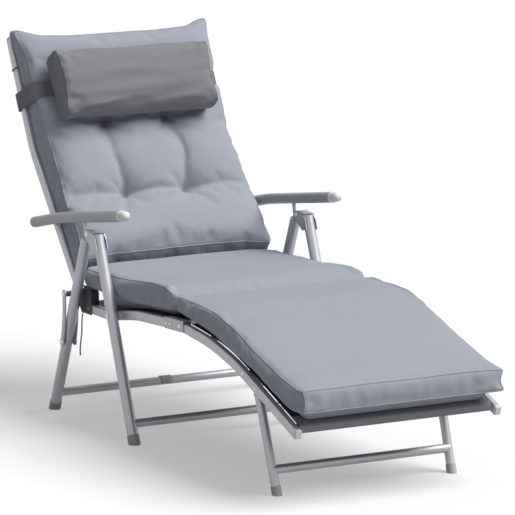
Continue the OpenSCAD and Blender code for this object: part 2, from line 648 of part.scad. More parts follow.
seat_rail(true);  // seat_rail_left
seat_rail(false);  // seat_rail_right
sleeve_brackets();
frame_rivets();
footrest_hinge_pins();
back_hinge_brackets();
back_hinge_bolts();
back_bolt_spacers();
leg_pivot_spacers();
leg_pivot_bolts();
seat_cross_tube();
seat_mesh();
seat_cushion();
cushion_tie();
back_rail(true);  // back_rail_left
back_rail(false);  // back_rail_right
back_cross_tubes();
back_rail_caps();
back_mesh();
back_cushion();
head_pillow();
pillow_strap();
elastic_loop();
armrest_bolts();
armrest_bushes();
armrest(true);  // armrest_left
armrest(false);  // armrest_right
armrest_tips();
armrest_plugs();
recline_racks();
front_leg(true);  // front_leg_left
front_leg(false);  // front_leg_right
front_crossbar();
front_feet();
apex_brackets();
apex_bolts();
rear_leg(true);  // rear_leg_left
rear_leg(false);  // rear_leg_right
rear_crossbar();
rear_feet();
recline_prongs();
folding_catch();
inner_links();
outer_links();
link_rivets();
footrest_rail(true);  // footrest_rail_left
footrest_rail(false);  // footrest_rail_right
footrest_rail_caps();
footrest_cross_tube();
footrest_mesh();
footrest_cushion();
foot_leg_pins();
foot_leg_spacers();
leg_stop_rivets();
foot_leg(true);  // foot_leg_left
foot_leg(false);  // foot_leg_right
foot_crossbar();
foot_leg_feet();
leg_stop_hooks();
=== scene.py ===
"""Folding reclining lounger: cushions, pillow, slings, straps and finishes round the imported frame.

Everything is in metres in the frame's own axes: +Z up, -Y towards the sitter's feet, +X towards
the sitter's left. Side outlines are lists of (y, z) points.
"""
import json
import math

import bpy
import numpy as np
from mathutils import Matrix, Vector, noise


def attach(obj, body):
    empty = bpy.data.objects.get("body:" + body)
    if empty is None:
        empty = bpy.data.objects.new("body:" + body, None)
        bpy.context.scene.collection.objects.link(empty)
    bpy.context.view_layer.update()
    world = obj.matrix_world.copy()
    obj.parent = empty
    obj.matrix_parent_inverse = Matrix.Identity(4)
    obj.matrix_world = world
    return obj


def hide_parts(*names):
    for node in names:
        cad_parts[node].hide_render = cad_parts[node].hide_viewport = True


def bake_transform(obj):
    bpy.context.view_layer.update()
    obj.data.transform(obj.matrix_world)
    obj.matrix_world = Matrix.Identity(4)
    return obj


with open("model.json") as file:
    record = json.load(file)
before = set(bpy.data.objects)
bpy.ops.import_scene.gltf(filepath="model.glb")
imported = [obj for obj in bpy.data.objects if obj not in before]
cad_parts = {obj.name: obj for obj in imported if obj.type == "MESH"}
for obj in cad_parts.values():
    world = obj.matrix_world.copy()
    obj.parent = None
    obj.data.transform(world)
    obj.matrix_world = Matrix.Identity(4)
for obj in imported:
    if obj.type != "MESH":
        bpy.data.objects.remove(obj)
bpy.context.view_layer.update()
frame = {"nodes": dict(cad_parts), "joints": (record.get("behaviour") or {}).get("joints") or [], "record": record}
NODES = frame["nodes"]
JOINT_AT = {j["name"]: j["pos_m"] for j in frame["joints"]}
MM = 0.001


# ---- camera: long lens from the sitter's front right ----
def place_camera(target, azimuth, elevation, distance, lens):
    a, e = math.radians(azimuth), math.radians(elevation)
    back = Vector((math.sin(a) * math.cos(e), -math.cos(a) * math.cos(e), math.sin(e)))
    camera = bpy.data.objects.new("camera", bpy.data.cameras.new("camera"))
    bpy.context.scene.collection.objects.link(camera)
    camera.data.lens = lens
    camera.data.sensor_width = 36
    camera.data.dof.use_dof = False
    camera.location = Vector(target) + back * distance
    camera.rotation_mode = "QUATERNION"
    camera.rotation_quaternion = (-back).to_track_quat("-Z", "Y")
    bpy.context.scene.camera = camera


place_camera((-0.0616, -0.1841, 0.4865), azimuth=-28.284, elevation=10.461, distance=9.842, lens=279.6)


# ---- small geometry helpers ----
def catmull_rom(a, b, c, d, t):
    """The curve between b and c at shares t, with a before them and d after them."""
    return 0.5 * (2 * b + (c - a) * t + (2 * a - 5 * b + 4 * c - d) * t**2 + (3 * b - a - 3 * c + d) * t**3)


def with_ends(p):
    """The outline with one more point at each end, straight on from the last two."""
    return np.vstack([2 * p[0] - p[1], p, 2 * p[-1] - p[-2]])


def distances(line):
    """Each point's distance along the line."""
    return np.concatenate([[0], np.cumsum(np.linalg.norm(np.diff(line, axis=0), axis=1))])


def directions(line):
    """Unit vectors along the line, one at each point."""
    ahead = np.gradient(line, axis=0)
    return ahead / np.linalg.norm(ahead, axis=1, keepdims=True)


def upward(line):
    """Unit vectors square to a side outline, on its upper side."""
    ahead = directions(line)
    up = np.column_stack([-ahead[:, 1], ahead[:, 0]])
    return -up if up[:, 1].sum() < 0 else up


def smooth_line(points, count):
    """count points at even spacing on a smooth curve through the given points."""
    p = with_ends(np.array(points, float))
    t = np.linspace(0, 1, 24, endpoint=False)[:, None]
    dense = [catmull_rom(a, b, c, d, t) for a, b, c, d in zip(p, p[1:], p[2:], p[3:])]
    dense = np.vstack(dense + [p[-2:-1]])
    along = distances(dense)
    at = np.linspace(0, along[-1], count)
    return np.stack([np.interp(at, along, dense[:, k]) for k in range(dense.shape[1])], axis=1)


def bump_at(distance, width):
    """1 at distance 0, falling softly to 0 over width."""
    return np.exp(-(np.asarray(distance) / width) ** 2)


def ease(x, low, high):
    t = np.clip((np.asarray(x, float) - low) / (high - low), 0, 1)
    return t * t * (3 - 2 * t)


def wavy(points, scale, seed):
    """Smooth noise from -1 to 1 at each point; scale is waves per metre."""
    shift = Vector((seed * 7.3, seed * 3.1, seed * 5.7))
    return np.array([noise.noise(Vector(p) * scale + shift) for p in points])


def new_object(name, verts, faces, uvs=None, smooth=True):
    mesh = bpy.data.meshes.new(name)
    mesh.from_pydata([tuple(v) for v in verts], [], [tuple(f) for f in faces])
    if uvs is not None:
        layer = mesh.uv_layers.new(name="cloth")
        layer.data.foreach_set("uv", np.asarray(uvs, np.float32).ravel())
    mesh.polygons.foreach_set("use_smooth", [smooth] * len(faces))
    mesh.update()
    o = bpy.data.objects.new(name, mesh)
    bpy.context.scene.collection.objects.link(o)
    return o


def box_grid(xs, ys, zs):
    """The surface of a box as quads, with grid lines at the given positions.

    Returns the points, the faces and one flat cloth coordinate for each corner of each face.
    """
    n = (len(xs), len(ys), len(zs))
    axes, number, points, faces, uvs = (xs, ys, zs), {}, [], [], []

    def point(key):
        if key not in number:
            number[key] = len(points)
            points.append([axes[k][key[k]] for k in range(3)])
        return number[key]

    for fixed in range(3):
        u, v = [(1, 2), (2, 0), (0, 1)][fixed]
        for end in (0, n[fixed] - 1):
            for i in range(n[u] - 1):
                for j in range(n[v] - 1):
                    corners = []
                    for di, dj in ((0, 0), (1, 0), (1, 1), (0, 1)):
                        key = [0, 0, 0]
                        key[fixed], key[u], key[v] = end, i + di, j + dj
                        corners.append(tuple(key))
                    if end == 0:
                        corners.reverse()
                    faces.append([point(c) for c in corners])
                    uvs += [(axes[u][c[u]] + fixed, axes[v][c[v]]) for c in corners]
    return np.array(points), faces, uvs


def rounded(points, low, high, radius):
    """Box points moved onto a box with round edges."""
    inner = np.clip(points, np.array(low) + radius, np.array(high) - radius)
    d = points - inner
    size = np.linalg.norm(d, axis=1, keepdims=True)
    return inner + radius * d / np.maximum(size, 1e-9)


def inflate(o, held, pressure, grow, cap, frames=20, bending=0.6, stiffness=12):
    """Blows the piece up as cloth; held is each point's pin weight, cap the furthest a point may move."""
    rest = np.array([v.co for v in o.data.vertices])
    group = o.vertex_groups.new(name="held")
    for i, w in enumerate(held):
        if w > 0.01:
            group.add([i], float(w), "REPLACE")
    cloth = o.modifiers.new("cloth", "CLOTH")
    s = cloth.settings
    s.quality = 6
    s.mass = 0.3
    s.tension_stiffness = s.compression_stiffness = stiffness
    s.shear_stiffness = stiffness / 3
    s.bending_stiffness = bending
    s.use_pressure = True
    s.uniform_pressure_force = pressure
    s.shrink_min = -grow
    s.vertex_group_mass = "held"
    s.pin_stiffness = 5
    s.effector_weights.gravity = 0
    cloth.collision_settings.use_collision = False
    cloth.collision_settings.use_self_collision = False
    cloth.point_cache.frame_end = frames
    for f in range(1, frames + 1):
        bpy.context.scene.frame_set(f)
    shown = o.evaluated_get(bpy.context.evaluated_depsgraph_get()).to_mesh()
    moved = np.array([v.co for v in shown.vertices]) - rest
    o.modifiers.remove(cloth)
    o.vertex_groups.remove(group)
    bpy.context.scene.frame_set(1)
    far = np.linalg.norm(moved, axis=1, keepdims=True)
    moved *= cap / np.maximum(far, cap)
    o.data.vertices.foreach_set("co", (rest + moved).astype(np.float32).ravel())
    o.data.update()


def subdivide(o, levels=1):
    """Applies a subdivision surface, so that the smooth shape is the mesh's own."""
    m = o.modifiers.new("smooth", "SUBSURF")
    m.levels = m.render_levels = levels
    m.uv_smooth = "PRESERVE_BOUNDARIES"
    mesh = bpy.data.meshes.new_from_object(o.evaluated_get(bpy.context.evaluated_depsgraph_get()))
    o.modifiers.clear()
    old = o.data
    o.data = mesh
    bpy.data.meshes.remove(old)
    mesh.polygons.foreach_set("use_smooth", [True] * len(mesh.polygons))


def add_to(o, verts, faces):
    """Joins more points and quads to a piece's mesh; they take the cloth coordinate of their place."""
    mesh = o.data
    old = np.array([v.co for v in mesh.vertices])
    old_faces = [list(f.vertices) for f in mesh.polygons]
    layer = np.zeros(2 * len(mesh.loops), np.float32)
    mesh.uv_layers[0].data.foreach_get("uv", layer)
    new_faces = [[i + len(old) for i in f] for f in faces]
    uvs = [tuple(c) for c in layer.reshape(-1, 2)]
    uvs += [(verts[i][1], verts[i][0] + verts[i][2]) for f in faces for i in f]
    name = o.name
    fresh = new_object(name + "_whole", np.vstack([old, verts]), old_faces + new_faces, uvs)
    o.data = fresh.data
    bpy.data.objects.remove(fresh)
    bpy.data.meshes.remove(mesh)


def tube_round(line, radius, sides=6, flat=1.0, up=(1, 0, 0), closed=False):
    """Points and quads of a tube along a line; flat squashes it across the direction up."""
    line = np.array(line, float)
    n = len(line)
    ahead = np.roll(line, -1, axis=0) - np.roll(line, 1, axis=0) if closed else np.gradient(line, axis=0)
    ahead /= np.linalg.norm(ahead, axis=1, keepdims=True)
    side = np.cross(ahead, np.array(up, float))
    side /= np.maximum(np.linalg.norm(side, axis=1, keepdims=True), 1e-9)
    other = np.cross(side, ahead)
    points = []
    for k in range(sides):
        a = 2 * math.pi * (k + 0.5) / sides
        points.append(line + radius * (flat * math.cos(a) * side + math.sin(a) * other))
    verts = np.stack(points, axis=1).reshape(-1, 3)
    faces = []
    for i in range(n if closed else n - 1):
        j = (i + 1) % n
        faces += [[i * sides + k, i * sides + (k + 1) % sides, j * sides + (k + 1) % sides, j * sides + k]
                  for k in range(sides)]
    if not closed:
        faces += [list(range(sides))[::-1], [(n - 1) * sides + k for k in range(sides)]]
    return verts, faces


def band(name, line, normals, width_dir, width, thick):
    """A closed flat band: its middle line, the outward normals and the direction across it."""
    line, normals = np.array(line, float), np.array(normals, float)
    across = np.array(width_dir, float) * width / 2
    rings = [line - across, line + across, line + across + normals * thick, line - across + normals * thick]
    verts = np.stack(rings, axis=1).reshape(-1, 3)
    n = len(line)
    along = distances(line)
    faces, uvs = [], []
    cross = (0, width, width + thick, 2 * width + thick, 2 * width + 2 * thick)
    for i in range(n - 1):
        for k in range(4):
            faces.append([4 * i + k, 4 * i + (k + 1) % 4, 4 * i + 4 + (k + 1) % 4, 4 * i + 4 + k])
            uvs += [(cross[k], along[i]), (cross[k + 1], along[i]), (cross[k + 1], along[i + 1]),
                    (cross[k], along[i + 1])]
    for start, order in ((0, (3, 2, 1, 0)), (4 * (n - 1), (0, 1, 2, 3))):
        faces.append([start + k for k in order])
        uvs += [(0, 0), (width, 0), (width, thick), (0, thick)]
    return new_object(name, verts, faces, uvs, smooth=False)


# ---- the back's own measures, as distances along and out from its side rails ----
BACK_PIVOT = np.array(JOINT_AT["recline"][1:])
BACK_BEND = np.array((0.658, 0.653))
BACK_END = np.array((0.793, 0.926))
BACK_LOW_DIR = (BACK_BEND - BACK_PIVOT) / np.linalg.norm(BACK_BEND - BACK_PIVOT)
BACK_TOP_DIR = (BACK_END - BACK_BEND) / np.linalg.norm(BACK_END - BACK_BEND)
BACK_LOW_LEN = np.linalg.norm(BACK_BEND - BACK_PIVOT)


def on_back(along, out):
    """(y, z) at a distance along the back's lower straight and out in front of the rail, in mm."""
    return BACK_PIVOT + along * MM * BACK_LOW_DIR + out * MM * np.array((-BACK_LOW_DIR[1], BACK_LOW_DIR[0]))


def on_top(along, out):
    return BACK_BEND + along * MM * BACK_TOP_DIR + out * MM * np.array((-BACK_TOP_DIR[1], BACK_TOP_DIR[0]))


# ---- materials ----
class Nodes:
    """A material's node tree, with short calls to add and join nodes."""

    def __init__(self, name):
        self.material = bpy.data.materials.new(name)
        self.material.use_nodes = True
        self.tree = self.material.node_tree
        self.shader = self.tree.nodes["Principled BSDF"]

    def add(self, kind, **values):
        node = self.tree.nodes.new(kind)
        for key, value in values.items():
            if hasattr(node, key):
                setattr(node, key, value)
            else:
                node.inputs[key.replace("_", " ")].default_value = value
        return node

    def join(self, out, into):
        self.tree.links.new(out, into)

    def math(self, operation, a, b):
        node = self.add("ShaderNodeMath", operation=operation)
        for socket, value in zip(node.inputs, (a, b)):
            if isinstance(value, (int, float)):
                socket.default_value = value
            else:
                self.join(value, socket)
        return node.outputs[0]

    def coordinates(self, kind):
        return self.add("ShaderNodeTexCoord").outputs[kind]

    def scaled(self, vector, scale):
        node = self.add("ShaderNodeMapping")
        node.inputs["Scale"].default_value = scale
        self.join(vector, node.inputs["Vector"])
        return node.outputs[0]

    def noise(self, vector, scale, detail=3.0, roughness=0.5):
        node = self.add("ShaderNodeTexNoise", Scale=scale, Detail=detail, Roughness=roughness)
        self.join(vector, node.inputs["Vector"])
        return node.outputs["Fac"]

    def ramp(self, value, stops):
        node = self.add("ShaderNodeValToRGB")
        elements = node.color_ramp.elements
        while len(elements) < len(stops):
            elements.new(0.5)
        for element, (position, color) in zip(elements, stops):
            element.position = position
            element.color = (*color, 1)
        self.join(value, node.inputs["Fac"])
        return node.outputs["Color"]

    def mix(self, share, a, b):
        node = self.add("ShaderNodeMix", data_type="RGBA")
        for socket, value in ((node.inputs[0], share), (node.inputs[6], a), (node.inputs[7], b)):
            if isinstance(value, (int, float)):
                socket.default_value = value
            elif isinstance(value, tuple):
                socket.default_value = (*value, 1)
            else:
                self.join(value, socket)
        return node.outputs[2]

    def bump(self, height, distance, strength=1.0, normal=None):
        node = self.add("ShaderNodeBump", Distance=distance, Strength=strength)
        self.join(height, node.inputs["Height"])
        if normal is not None:
            self.join(normal, node.inputs["Normal"])
        return node.outputs[0]

    def finish(self, **values):
        for key, value in values.items():
            socket = self.shader.inputs[key.replace("_", " ")]
            if isinstance(value, (int, float)):
                socket.default_value = value
            else:
                self.join(value, socket)
        return self.material


def shade(color, by):
    return tuple(max(0.0, c * by) for c in color)


def woven(name, color, pitch, contrast=0.12, sheen=0.25, wrinkle=0.0012):
    """Plain-woven cloth: threads over and under each other, uneven yarn and soft creases; its colour is lighter on
    the raised threads and darker in the dips, painted highlight and painted shade.
    """
    n = Nodes(name)
    uv = n.coordinates("UV")
    place = n.coordinates("Object")
    parts = n.add("ShaderNodeSeparateXYZ")
    n.join(n.scaled(uv, (1 / pitch, 1 / pitch, 1)), parts.inputs[0])
    across = n.math("SINE", n.math("MULTIPLY", parts.outputs[0], 2 * math.pi), 0)
    along = n.math("SINE", n.math("MULTIPLY", parts.outputs[1], 2 * math.pi), 0)
    threads = n.math("MULTIPLY", across, along)
    height = n.math("ADD", n.math("MULTIPLY", threads, 0.5), 0.5)
    yarn = n.noise(n.scaled(uv, (1 / pitch / 6, 1 / pitch, 1)), 1.0, 2.0)
    cloudy = n.noise(place, 9.0, 4.0, 0.6)
    fibre = n.noise(place, 1400.0, 2.0, 0.7)
    # thread height in the colour is painted highlight on the raised threads and painted shade in the dips; yarn
    # and fibre noise are the cloth's own uneven colour
    tone = n.math("ADD", n.math("MULTIPLY", height, 0.45),
                  n.math("ADD", n.math("MULTIPLY", yarn, 0.3), n.math("MULTIPLY", fibre, 0.25)))
    base = n.ramp(tone, [(0.15, shade(color, 1 - contrast)), (0.85, shade(color, 1 + contrast))])
    aged = n.mix(n.math("MULTIPLY", cloudy, 0.22), base, shade(color, 0.86))
    soft = n.noise(place, 26.0, 5.0, 0.62)
    creased = n.bump(soft, wrinkle, 0.55)
    normal = n.bump(height, pitch * 0.22, 0.5, creased)
    n.join(aged, n.shader.inputs["Base Color"])
    n.join(normal, n.shader.inputs["Normal"])
    return n.finish(Roughness=0.88, Sheen_Weight=sheen, Sheen_Roughness=0.45, Specular_IOR_Level=0.25)


def mesh_cloth_painted_light(name, color, pitch):
    """Open basket-woven coated yarn, two threads each way, on an opaque sheet whose colour is painted shade in the
    openings and dips and painted highlight on the raised yarn.
    """
    n = Nodes(name)
    parts = n.add("ShaderNodeSeparateXYZ")
    n.join(n.scaled(n.coordinates("UV"), (1 / pitch, 1 / pitch, 1)), parts.inputs[0])
    waves = [n.math("SINE", n.math("MULTIPLY", parts.outputs[k], 2 * math.pi), 0) for k in (0, 1)]
    lumps = n.math("MULTIPLY", waves[0], waves[1])
    height = n.math("ADD", n.math("MULTIPLY", lumps, 0.5), 0.5)
    spread = n.noise(n.coordinates("Object"), 600.0, 2.0)
    tone = n.math("ADD", n.math("MULTIPLY", height, 0.75), n.math("MULTIPLY", spread, 0.25))
    # colour from yarn height: painted shade in the openings and dips, painted highlight on the raised yarn; spread
    # is the yarn's own uneven colour
    base = n.ramp(tone, [(0.2, shade(color, 0.25)), (0.6, color), (0.95, shade(color, 2.2))])
    n.join(base, n.shader.inputs["Base Color"])
    n.join(n.bump(height, pitch * 0.3, 0.8), n.shader.inputs["Normal"])
    return n.finish(Roughness=0.55, Specular_IOR_Level=0.4)


def coated(name, color, roughness=0.36, metallic=0.35, grain=0.00006):
    """Powder-coated steel: fine orange peel and faint handling marks."""
    n = Nodes(name)
    place = n.coordinates("Object")
    peel = n.noise(place, 950.0, 2.0, 0.55)
    patches = n.noise(place, 14.0, 4.0, 0.6)
    marks = n.noise(n.scaled(place, (60.0, 60.0, 6.0)), 3.0, 4.0, 0.7)
    base = n.ramp(patches, [(0.3, shade(color, 0.95)), (0.7, shade(color, 1.05))])
    worn = n.mix(n.ramp(marks, [(0.66, (0, 0, 0)), (0.8, (0.35, 0.35, 0.35))]), base, shade(color, 0.8))
    rough = n.math("ADD", n.math("MULTIPLY", patches, 0.12), roughness - 0.06)
    n.join(worn, n.shader.inputs["Base Color"])
    n.join(rough, n.shader.inputs["Roughness"])
    n.join(n.bump(peel, grain, 0.6), n.shader.inputs["Normal"])
    return n.finish(Metallic=metallic, Coat_Weight=0.12, Coat_Roughness=0.3)


def zinc(name, color):
    n = Nodes(name)
    place = n.coordinates("Object")
    fine = n.noise(n.scaled(place, (1.0, 6.0, 6.0)), 500.0, 3.0)
    spots = n.noise(place, 160.0, 4.0, 0.65)
    n.join(n.ramp(spots, [(0.35, shade(color, 0.8)), (0.65, color)]), n.shader.inputs["Base Color"])
    n.join(n.math("ADD", n.math("MULTIPLY", spots, 0.25), 0.2), n.shader.inputs["Roughness"])
    n.join(n.bump(fine, 0.00003, 0.5), n.shader.inputs["Normal"])
    return n.finish(Metallic=0.9)


def moulded(name, color, roughness=0.45, speckle=0.06):
    """Moulded plastic: spark-eroded grain and slightly uneven colour."""
    n = Nodes(name)
    place = n.coordinates("Object")
    grain = n.noise(place, 1500.0, 2.0, 0.6)
    flow = n.noise(place, 30.0, 3.0)
    tone = n.math("ADD", n.math("MULTIPLY", grain, 0.6), n.math("MULTIPLY", flow, 0.4))
    base = n.ramp(tone, [(0.3, shade(color, 1 - speckle)), (0.7, shade(color, 1 + speckle))])
    n.join(base, n.shader.inputs["Base Color"])
    n.join(n.math("ADD", n.math("MULTIPLY", flow, 0.15), roughness - 0.07), n.shader.inputs["Roughness"])
    n.join(n.bump(grain, 0.00005, 0.6), n.shader.inputs["Normal"])
    return n.finish(Specular_IOR_Level=0.45)


CUSHION_COLOR = (0.362, 0.385, 0.440)
PILLOW_COLOR = (0.235, 0.241, 0.252)
FINISH = {
    "frame_paint": coated("frame_paint", (0.49, 0.505, 0.535), roughness=0.37, metallic=0.45),
    "bracket_steel": coated("bracket_steel", (0.44, 0.455, 0.48), roughness=0.4, metallic=0.4),
    "bolt_steel": zinc("bolt_steel", (0.62, 0.63, 0.65)),
    "dark_plastic": moulded("dark_plastic", (0.055, 0.057, 0.063), roughness=0.5),
    "grey_plastic": moulded("grey_plastic", (0.60, 0.61, 0.62)),
    "mesh": mesh_cloth_painted_light("mesh", (0.075, 0.076, 0.082), 0.0034),
    "cushion": woven("cushion", CUSHION_COLOR, 0.0021, contrast=0.27, wrinkle=0.0026),
    "pillow": woven("pillow", PILLOW_COLOR, 0.0019, contrast=0.3, sheen=0.12, wrinkle=0.0026),
    "strap": woven("strap", (0.19, 0.194, 0.208), 0.0022, contrast=0.4, sheen=0.1),
}
SLOT_OF = {s["node"]: s["material_slot"] for s in frame["record"]["subparts"]}


def finish_node(name, material=None):
    o = NODES[name]
    o.data.materials.clear()
    o.data.materials.append(material or FINISH[SLOT_OF[name]])


for node_name in NODES:
    finish_node(node_name)
tip_finish = moulded("tip_grey", (0.80, 0.81, 0.82), roughness=0.5)
for node_name in ("armrest_tips", "back_rail_caps", "footrest_rail_caps"):
    finish_node(node_name, tip_finish)
arm_finish = coated("arm_paint", (0.33, 0.342, 0.366), roughness=0.48, metallic=0.15)
for node_name in ("armrest_left", "armrest_right"):
    finish_node(node_name, arm_finish)
shoe_finish = moulded("shoe_grey", (0.47, 0.48, 0.50), roughness=0.45)
for node_name in ("front_feet", "rear_feet", "foot_leg_feet"):
    finish_node(node_name, shoe_finish)


def dress(o, slot):
    """Gives a new piece the material of its record slot."""
    o.data.materials.clear()
    o.data.materials.append(FINISH[slot])
    return o


def at_sides(flat, half):
    """Box points on the two sides across X."""
    return np.abs(flat[:, 0]) > 0.999 * half


def rim_of(flat, half, length):
    """Box points on the four sides round a pad's faces."""
    return at_sides(flat, half) | (flat[:, 1] < 1e-6) | (flat[:, 1] > length - 1e-6)


def sew(o, flat, chosen, middle, radius):
    """A raised seam along the closed line of box points chosen, in order round the middle."""
    index = np.nonzero(chosen)[0]
    angle = np.arctan2(flat[index, 1] - middle[1], flat[index, 0] - middle[0])
    index = index[np.argsort(angle)]
    line = np.array([o.data.vertices[int(i)].co for i in index])
    add_to(o, *tube_round(line, radius, closed=True, up=(0.3, 0.2, 0.93)))


# ---- back cushion: boxed pad with two rows of two tufts ----
CUSHION_W = 0.55
GRID = 0.009          # spacing of a pad's mesh lines
SEAM_R = 0.0017
BACK_THICK = 0.062
BACK_START = 44       # the cushion's lower end, in mm along the back
BACK_REAR = [on_back(BACK_START, 12.6), on_back(240, 12.4), on_back(400, 12.4), on_top(60, 12.4),
             on_top(200, 12.4), on_top(306, 12.6)]
BACK_FRONT = [on_back(50, 78), on_back(150, 80), on_back(242, 73), on_back(330, 78), on_top(0, 80),
              on_top(60, 78), on_top(150, 72), on_top(230, 68), on_top(306, 62)]
BACK_LEN = 0.69
TUFT_X = 0.088
TUFT_LOW = 0.198      # distance of the lower tufts from the cushion's lower end
TUFT_HIGH = 0.428
TUFT_SPLIT = 0.31     # above this, small folds spread from the upper tufts
STRAP_ALONG = 136     # the strap's middle, in mm along the back's upper straight
STRAP_S = BACK_LOW_LEN + (STRAP_ALONG - BACK_START) * MM
STRAP_W = 0.046


def spine_map(points, rear, front):
    """Box points (x, share along, share of thickness) bent onto two side outlines."""
    share = np.clip(points[:, 1], 0, 1) * (len(rear) - 1)
    index = np.arange(len(rear))
    low = np.stack([np.interp(share, index, rear[:, k]) for k in (0, 1)], axis=1)
    high = np.stack([np.interp(share, index, front[:, k]) for k in (0, 1)], axis=1)
    side = low + (high - low) * points[:, 2:3]
    overrun = (points[:, 1] - np.clip(points[:, 1], 0, 1))[:, None]
    end_dir = np.where(points[:, 1:2] > 0.5, rear[-1] - rear[-2], rear[1] - rear[0]) * (len(rear) - 1)
    side = side + overrun * end_dir
    return np.column_stack([points[:, 0], side])


def tuft_depth(x, s):
    """How far the front face is drawn in: four tufts and the sewn folds between them."""
    depth = np.zeros_like(x)
    for side in (-1, 1):
        for s0, amount in ((TUFT_LOW, 0.040), (TUFT_HIGH, 0.036)):
            d = np.hypot(x - side * TUFT_X, s - s0)
            depth += amount * np.exp(-(d / 0.024) ** 0.9)
        bow = side * (TUFT_X + 0.010 * np.sin(np.pi * np.clip((s - TUFT_LOW) / (TUFT_HIGH - TUFT_LOW), 0, 1)))
        inside = ease(s, TUFT_LOW - 0.03, TUFT_LOW + 0.02) * (1 - ease(s, TUFT_HIGH + 0.01, TUFT_HIGH + 0.10))
        depth += 0.017 * inside * np.exp(-np.abs(x - bow) / 0.017)
    depth += 0.019 * np.exp(-np.abs(s - TUFT_LOW) / 0.017) * (1 - 0.55 * ease(np.abs(x), 0.10, 0.27))
    depth += 0.009 * np.exp(-np.abs(s - TUFT_HIGH) / 0.018) * (1 - 0.8 * ease(np.abs(x), 0.10, 0.27))
    return depth


def back_cushion():
    rear, front = smooth_line(BACK_REAR, 120), smooth_line(BACK_FRONT, 120)
    thick = BACK_THICK
    half = CUSHION_W / 2
    xs = np.linspace(-half, half, int(CUSHION_W / GRID) + 1)
    ss = np.linspace(0, BACK_LEN, int(BACK_LEN / GRID) + 1)
    ts = np.linspace(0, thick, 8)
    flat, faces, uvs = box_grid(xs, ss, ts)
    p = rounded(flat, (-half, 0, 0), (half, BACK_LEN, thick), 0.015)
    tight = rounded(flat, (-half, 0, 0), (half, BACK_LEN, thick), 0.005)
    p = np.where(flat[:, 2:3] < 0.45 * thick, tight, p)
    x, s = p[:, 0].copy(), p[:, 1].copy()
    facing = ease(flat[:, 2] / thick, 0.75, 1.0) * (flat[:, 2] > 0.99 * thick)
    edge = 1 - (np.abs(x) / half) ** 4
    ends = ease(s, 0, 0.06) * (1 - ease(s, BACK_LEN - 0.07, BACK_LEN))
    # the crowned face, its tufts, and slacker edges where the strap goes over
    crown = 0.021 * np.clip(edge, 0, 1) * (0.35 + 0.65 * ends)
    strap = bump_at(s - STRAP_S, 0.026) * ease(np.abs(x), 0.17, 0.22)
    lift = crown - tuft_depth(x, s) * ease(half - np.abs(x), 0.0, 0.03)
    p[:, 2] += facing * lift - 0.015 * strap * (flat[:, 2] / thick)
    # pointed top corners, and sides that pull in between the corners
    corner = ease(np.abs(x), half - 0.07, half) * ease(s, BACK_LEN - 0.07, BACK_LEN)
    waist = ease(np.abs(x), 0.2, half) * np.sin(np.pi * s / BACK_LEN)
    p[:, 0] += np.sign(x) * (0.012 * corner - 0.006 * waist)
    p[:, 1] += 0.014 * corner - 0.007 * ease(s, BACK_LEN - 0.05, BACK_LEN) * (1 - corner)
    # loose folds in the cover: fine and crosswise at the sides, broad on the face
    loose = wavy(np.column_stack([p[:, 0] * 0.35, s, p[:, 2] * 0]), 17, 5)
    gathers = wavy(np.column_stack([p[:, 0] * 0.4, s * 1.6, p[:, 2] * 0.5]), 34, 9)
    p[:, 2] += facing * 0.0035 * loose * edge
    p[:, 0] += np.sign(x) * 0.0022 * gathers * at_sides(flat, half)
    p[:, 0] -= np.sign(x) * 0.004 * bump_at(s - STRAP_S, 0.026) * at_sides(flat, half)
    near_tuft = bump_at(np.minimum(np.abs(s - TUFT_LOW), np.abs(s - TUFT_HIGH)), 0.05)
    nearest = np.where(s > TUFT_SPLIT, TUFT_HIGH, TUFT_LOW)
    rays = np.arctan2(s - nearest, np.abs(x) - TUFT_X)
    p[:, 2] += facing * 0.0028 * near_tuft * np.sin(7 * rays) * edge
    middle = thick * 0.55
    p[:, 2] = middle + (p[:, 2] - middle) * (1 - 0.55 * corner)
    q = np.column_stack([p[:, 0], p[:, 1] / BACK_LEN, p[:, 2] / thick])
    o = new_object("back_pad", spine_map(q, rear, front), faces, uvs)
    held = (flat[:, 2] < 0.3 * thick) * 1.0
    face = flat[:, 2] > 0.9 * thick
    for side in (-1, 1):
        for s0 in (TUFT_LOW, TUFT_HIGH):
            held = np.maximum(held, bump_at(np.hypot(x - side * TUFT_X, s - s0), 0.012) * face)
    held = np.maximum(held, 0.8 * bump_at(s - TUFT_LOW, 0.008) * face)
    held = np.maximum(held, ease(strap * (flat[:, 2] > 0.3 * thick), 0.1, 0.4))
    inflate(o, held, pressure=2.2, grow=0.022, cap=0.009)
    subdivide(o)
    rim = rim_of(flat, half, BACK_LEN)
    sew(o, flat, rim & (flat[:, 2] > 0.999 * thick), (0, BACK_LEN / 2), SEAM_R)
    sew(o, flat, rim & (flat[:, 2] < 1e-6), (0, BACK_LEN / 2), SEAM_R)
    return o


back_pad = dress(back_cushion(), "cushion")
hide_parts("back_cushion")
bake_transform(back_pad)


